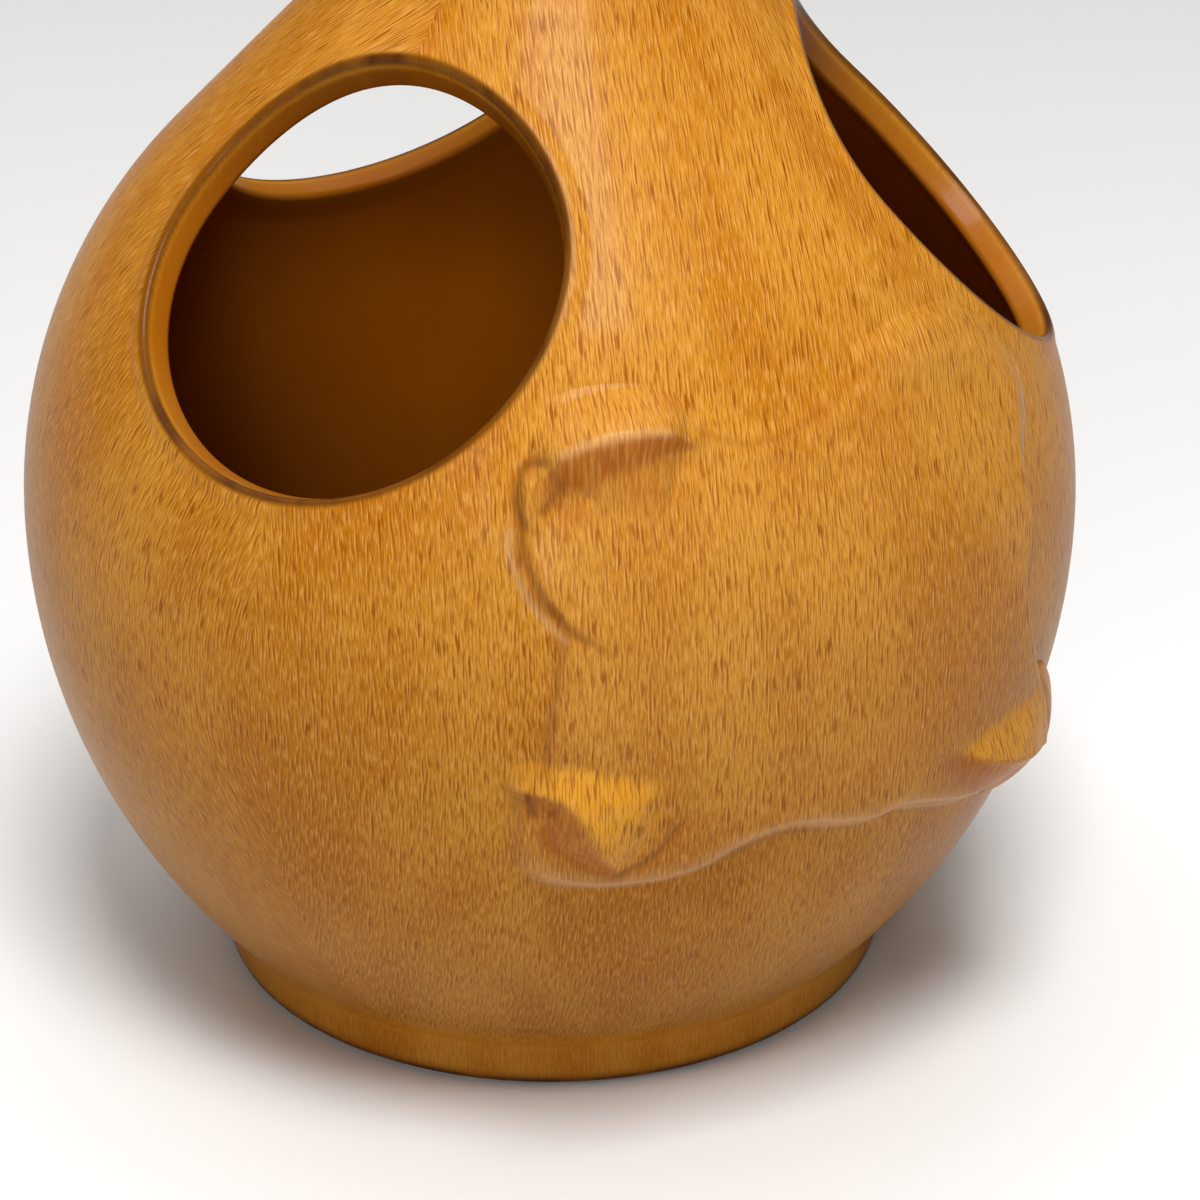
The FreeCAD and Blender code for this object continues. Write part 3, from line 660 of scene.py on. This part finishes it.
def makeGlaze(name):
    material = bpy.data.materials.new(name)
    material.use_nodes = True
    tree = material.node_tree
    shader = tree.nodes["Principled BSDF"]

    def times(first, second):
        return mathNode(tree, "MULTIPLY", first, second)

    def scaled(value, gain, rest):
        return mathNode(tree, "MULTIPLY_ADD", value, gain, rest)

    def without(value):
        return mathNode(tree, "SUBTRACT", 1.0, value)

    def point(**parts):
        return addNode(tree, "ShaderNodeCombineXYZ", **parts).outputs[0]

    # The seat is the place on the plain wall, so that marks run straight over the scroll
    x, y, height = addNode(tree, "ShaderNodeSeparateXYZ", Vector=field(tree, "seat", "Vector")).outputs
    level = point(X=x, Y=y)
    wrapped = vectorNode(tree, "SCALE", vectorNode(tree, "NORMALIZE", level), glaze["wrap"])

    # Ticks run side by side down each third of the pot, and the thirds meet at the windows
    third = 2*math.pi/len(windows["turns"])
    turn = mathNode(tree, "ARCTAN2", x, times(y, -1.0))
    sector = mathNode(tree, "ROUND", mathNode(tree, "DIVIDE", turn, third))
    turn = mathNode(tree, "ADD", scaled(sector, -third, turn), glaze["lean"])
    arcLength = times(turn, vectorNode(tree, "LENGTH", level))
    sideways = times(sector, glaze["sectorShift"])
    straight = point(X=arcLength, Y=sideways)
    # Ticks read a little further round, for a painted highlight beside each dark tick
    beside = point(X=mathNode(tree, "ADD", arcLength, glaze["edgeShift"]), Y=sideways)  # a little further round

    def streaks(around, kind):
        scale, stretch, shift, detail = glaze[kind]
        tall = point(Z=scaled(height, scale*stretch, shift))
        place = vectorNode(tree, "ADD", vectorNode(tree, "SCALE", around, scale), tall)
        return addNode(tree, "ShaderNodeTexNoise", Vector=place, Scale=1.0, Detail=detail,
                       Roughness=glaze["noiseRoughness"], Distortion=glaze["waver"]).outputs["Fac"]

    def marks(value, kind):
        return ramp(tree, value, *glaze[kind])

    def lay(colour, factor, kind):
        return mixColour(tree, factor, colour, glaze[kind])

    mottle = streaks(wrapped, "mottle")
    cloud = scaled(streaks(wrapped, "cloud"), glaze["cloudShare"], times(mottle, glaze["mottleShare"]))
    grain = streaks(straight, "grain")
    broken = without(field(tree, "plain"))
    dark = times(marks(streaks(straight, "ticks"), "tickRange"), broken)
    # Painted highlight beside each dark tick
    edge = times(times(marks(streaks(beside, "ticks"), "tickRange"), broken), without(dark))
    grainShare = times(broken, glaze["grainShare"])

    colour = mixColour(tree, marks(cloud, "cloudRange"), glaze["deep"], glaze["light"])
    # Painted light, with yellower thick glaze, on the lower rolls' up-facing flaps
    colour = lay(colour, times(field(tree, "poolAndLight"), glaze["poolAndLightShare"]), "poolAndLight")
    colour = lay(colour, times(marks(grain, "streakRange"), grainShare), "streak")
    colour = lay(colour, times(marks(grain, "paleRange"), grainShare), "pale")
    colour = lay(colour, times(edge, glaze["tickHighlightShare"]), "pale")
    depth = scaled(marks(streaks(wrapped, "patchy"), "patchRange"), *glaze["tickDepth"])
    depth = times(depth, scaled(marks(height, "tickHeights"), *glaze["tickFade"]))
    colour = lay(colour, times(dark, depth), "tick")
    runs = scaled(marks(streaks(straight, "runs"), "patchRange"), *glaze["runDepth"])
    # Stains, and painted shade on the rolls and in the creases, streaked by runs
    colour = lay(colour, times(field(tree, "stainAndShade"), runs), "stainAndShade")
    # Painted shade inside the pot and on the windows' cut faces
    colour = mixColour(tree, field(tree, "inside"), colour, lay(colour, glaze["insideShare"], "inside"))
    # Brown where the glaze breaks over edges, and painted shade in the creases, under the scroll's bottom edge and on
    # the windows' cut faces
    thin = times(field(tree, "thin"), scaled(marks(mottle, "patchRange"), *glaze["thinDepth"]))
    colour = lay(colour, thin, "brown")
    # Painted highlights and painted reflection on the scroll
    colour = lay(colour, field(tree, "pale"), "paleLine")
    colour = lay(colour, field(tree, "bare"), "clay")
    # Painted shade down the belly and painted light on the foot, multiplied into the colour
    shade = addNode(tree, "ShaderNodeMapRange", Value=height, From_Min=glaze["shadeTo"],
                    From_Max=glaze["shadeFrom"], To_Min=glaze["lowShade"], To_Max=1.0).outputs[0]
    shade = scaled(marks(height, "footLightRange"), glaze["footLight"], shade)
    shadeColour = addNode(tree, "ShaderNodeCombineColor", Red=shade, Green=shade, Blue=shade).outputs[0]
    colour = mixColour(tree, 1.0, colour, shadeColour, "MULTIPLY")
    tree.links.new(colour, shader.inputs["Base Color"])

    rough = scaled(mottle, glaze["roughMottle"], glaze["roughness"])
    rough = scaled(field(tree, "bare"), glaze["roughBare"], rough)
    rough = scaled(field(tree, "thin"), glaze["roughThin"], rough)
    tree.links.new(rough, shader.inputs["Roughness"])
    relief = mathNode(tree, "SUBTRACT", times(grain, glaze["grainRelief"]), dark)
    bump = addNode(tree, "ShaderNodeBump", Strength=glaze["bumpStrength"], Distance=glaze["bumpDistance"],
                   Height=relief)
    tree.links.new(bump.outputs[0], shader.inputs["Normal"])
    for socket, value in glaze["shader"].items():
        shader.inputs[socket].default_value = value
    return material


def outsideDistance(point):
    # How far outside the pot's outer face a point lies, negative in the wall and beyond it
    radius = math.hypot(point.x, point.y)
    if point.z < pot["bellyHeight"]:
        return math.hypot(radius - bellyCentre, point.z - pot["bellyHeight"]) - pot["bellyCurve"]
    if point.z < seatPoint.y:
        return wallDistance(point)
    return pot["neckCurve"] - math.hypot(radius - neckCentre.x, point.z - neckCentre.y)


def ramp01(value, low, high):
    return smoothStep(min(1, max(0, (value - low)/(high - low))))


# Where the glaze thins, browns or is wiped off on the body, and the painted shade inside the pot; metres
bodyPaint = {
    "insideDepth": (0.0030, 0.0048), "insideAbove": 0.0155, "mouthFade": (0.004, 0.02), "insidePlain": 0.7,
    "footEdge": (0.0026, 0.0010), "footEdgeRadius": (0.052, 0.058), "rimFrom": 0.0045, "rimTo": 0.001, "rimThin": 0.85,
    "bare": (0.0004, 0.0001), "bareRadius": 0.0585, "floorRadius": (0.050, 0.044), "floorBelow": 0.0175,
    "foot": (0.013, 0.010), "footPlain": 0.5, "footBrowner": 0.22,
}


def paintBody(mesh):
    fields = {name: [] for name in ("thin", "inside", "plain", "bare", "stainAndShade")}
    mouthTop = max(vert.co.z for vert in mesh.vertices)
    for vert in mesh.vertices:
        depth, z = -outsideDistance(vert.co), vert.co.z
        radius = math.hypot(vert.co.x, vert.co.y)
        # Painted shade inside the pot, fading out towards the mouth
        inside = ramp01(depth, *bodyPaint["insideDepth"]) if z > bodyPaint["insideAbove"] else 0
        inside *= ramp01(mouthTop - z, *bodyPaint["mouthFade"])
        footEdge = ramp01(z, *bodyPaint["footEdge"])*ramp01(radius, *bodyPaint["footEdgeRadius"])
        rim = ramp01(z, mouthTop - bodyPaint["rimFrom"], mouthTop - bodyPaint["rimTo"])
        flat = ramp01(radius, *bodyPaint["floorRadius"]) if z < bodyPaint["floorBelow"] else 0  # no ticks on the floor
        foot = ramp01(z, *bodyPaint["foot"])
        fields["thin"].append(max(footEdge, rim*bodyPaint["rimThin"]))
        fields["inside"].append(inside)
        fields["plain"].append(max(bodyPaint["insidePlain"]*inside, flat, bodyPaint["footPlain"]*foot))
        fields["bare"].append(ramp01(z, *bodyPaint["bare"]) if radius < bodyPaint["bareRadius"] else 0)
        # A browner tone on the foot
        fields["stainAndShade"].append(bodyPaint["footBrowner"]*foot)
    for name, values in fields.items():
        storeField(mesh, name, values)


# Where the glaze thins and browns at a window's lip corners, and painted shade on its cut face, darkest at the top,
# and on the wall behind it; depths and reaches in shares of the edge's rounding, or in metres
lipPaint = {
    "outerCorner": (1.3, 0.3), "innerCorner": (1.2, 0), "innerThin": 0.3, "cornerReach": (1.4, 0.5), "cut": (0.6, 2),
    "high": (0.0, 0.9), "cutThin": 0.22, "cutTopShadeBrown": 0.43, "cutReachMetres": (0.004, 0.001),
    "cutShade": 0.55, "cutShadeHigh": 0.25, "cutShadeDeep": 0.2,
    "behindWall": 0.9, "behindInside": 0.5, "behindReachMetres": (0.001, 0.0055), "plain": 0.8,
}


def paintLip(mesh, turn):
    _, up, outward = windowAxes(turn)
    middle = Vector((0, 0, pot["bellyHeight"]))
    edge, radius, wall = windows["edgeRound"], windows["radius"], pot["wall"]
    fields = {name: [] for name in ("thin", "inside", "plain")}

    def edgeRamp(value, kind):
        low, high = lipPaint[kind]
        return ramp01(value, edge*low, edge*high)

    for vert in mesh.vertices:
        offset = vert.co - middle
        depth = -wallDistance(vert.co)
        reach = (offset - outward*offset.dot(outward)).length/(1 - depth/pot["shoulderCurve"]) - radius
        innerCorner = lipPaint["innerThin"]*edgeRamp(abs(depth - wall), "innerCorner")
        corner = max(edgeRamp(abs(depth), "outerCorner"), innerCorner)
        # Painted shade: the cut face browner and darker towards its top and deeper in
        high = ramp01(offset.dot(up)/radius, *lipPaint["high"])
        cut = edgeRamp(depth, "cut")
        cutThin = cut*(lipPaint["cutThin"] + lipPaint["cutTopShadeBrown"]*high)*ramp01(reach, *lipPaint["cutReachMetres"])
        thin = max(corner*edgeRamp(reach, "cornerReach"), cutThin)
        deep = lipPaint["cutShadeDeep"]*ramp01(depth, edge, wall)
        cutFace = cut*(lipPaint["cutShade"] + lipPaint["cutShadeHigh"]*high + deep)
        # Painted shade inside the pot behind the lip, less near the opening
        behind = lipPaint["behindInside"]*ramp01(depth, wall*lipPaint["behindWall"], wall)
        fields["thin"].append(thin)
        fields["inside"].append(cutFace + behind*ramp01(reach, *lipPaint["behindReachMetres"]))
        fields["plain"].append(max(lipPaint["plain"]*ramp01(depth, 0, edge), lipPaint["plain"]*thin))
    for name, values in fields.items():
        storeField(mesh, name, values)


honey = makeGlaze("honey_glaze")
paintBody(body.data)
storeSeat(body.data)
for side, lip in lips.items():
    paintLip(lip.data, windows["turns"][side])
    storeSeat(lip.data)
for piece in [body, scrollSkin, *lips.values()]:
    piece.data.materials.clear()
    piece.data.materials.append(honey)
print("glaze laid on", len(lips) + 2, "pieces")

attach(body, "root")
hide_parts("belly_bowl", "shoulder_dome", "neck_collar", "mouth_lip", "foot_ring")
for side, lip in lips.items():
    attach(lip, "root")
    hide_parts(f"window_lip_{side}")
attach(scrollSkin, "root")
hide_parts("scroll_sheet", "scroll_curl_upper_left", "scroll_curl_upper_right",
            "scroll_curl_lower_left", "scroll_curl_lower_right")

studio = {
    "floorSize": 8.0, "floorColour": (0.88, 0.875, 0.865), "floorRoughness": 0.6,
    "worldStrength": 0.08, "viewTransform": "Standard",
    # Light panels: place, aim, side in metres, watts
    "panels": {"key_panel": ((-0.2, -0.55, 1.35), (0, 0, 0.09), 0.5, 18),
               "low_panel": ((-0.7, -0.95, 0.52), (0, 0, 0.09), 0.35, 3.2),
               "top_panel": ((0.2, 0.9, 2.4), (0, 0.3, 0), 2.8, 34)},
}
shot = {"lens": 108, "sensor": 36, "place": (-0.2784, -0.4952, 0.3395), "aim": (0.00735, -0.00428, 0.0624)}

bm = bmesh.new()
bmesh.ops.create_grid(bm, x_segments=2, y_segments=2, size=studio["floorSize"])
floor = addObject("floor", bm)
floorPaint = bpy.data.materials.new("pale_floor")
floorPaint.use_nodes = True
floorShader = floorPaint.node_tree.nodes["Principled BSDF"]
floorShader.inputs["Base Color"].default_value = (*studio["floorColour"], 1)
floorShader.inputs["Roughness"].default_value = studio["floorRoughness"]
floor.data.materials.append(floorPaint)

world = bpy.data.worlds.new("studio")
world.use_nodes = True
world.node_tree.nodes["Background"].inputs["Color"].default_value = (1, 1, 1, 1)
world.node_tree.nodes["Background"].inputs["Strength"].default_value = studio["worldStrength"]
bpy.context.scene.world = world
bpy.context.scene.view_settings.view_transform = studio["viewTransform"]


def aimed(place, aim):
    return (Vector(aim) - Vector(place)).to_track_quat("-Z", "Y").to_euler()


for name, (place, aim, side, power) in studio["panels"].items():
    panel = bpy.data.lights.new(name, "AREA")
    panel.shape = "RECTANGLE"
    panel.size = panel.size_y = side
    panel.energy = power
    lamp = bpy.data.objects.new(name, panel)
    lamp.location = place
    lamp.rotation_euler = aimed(place, aim)
    bpy.context.collection.objects.link(lamp)
print("studio set with", len(studio["panels"]), "panels")

cameraData = bpy.data.cameras.new("photo_camera")
cameraData.lens = shot["lens"]
cameraData.sensor_width = shot["sensor"]
camera = bpy.data.objects.new("photo_camera", cameraData)
camera.location = shot["place"]
camera.rotation_euler = aimed(shot["place"], shot["aim"])
bpy.context.collection.objects.link(camera)
bpy.context.scene.camera = camera
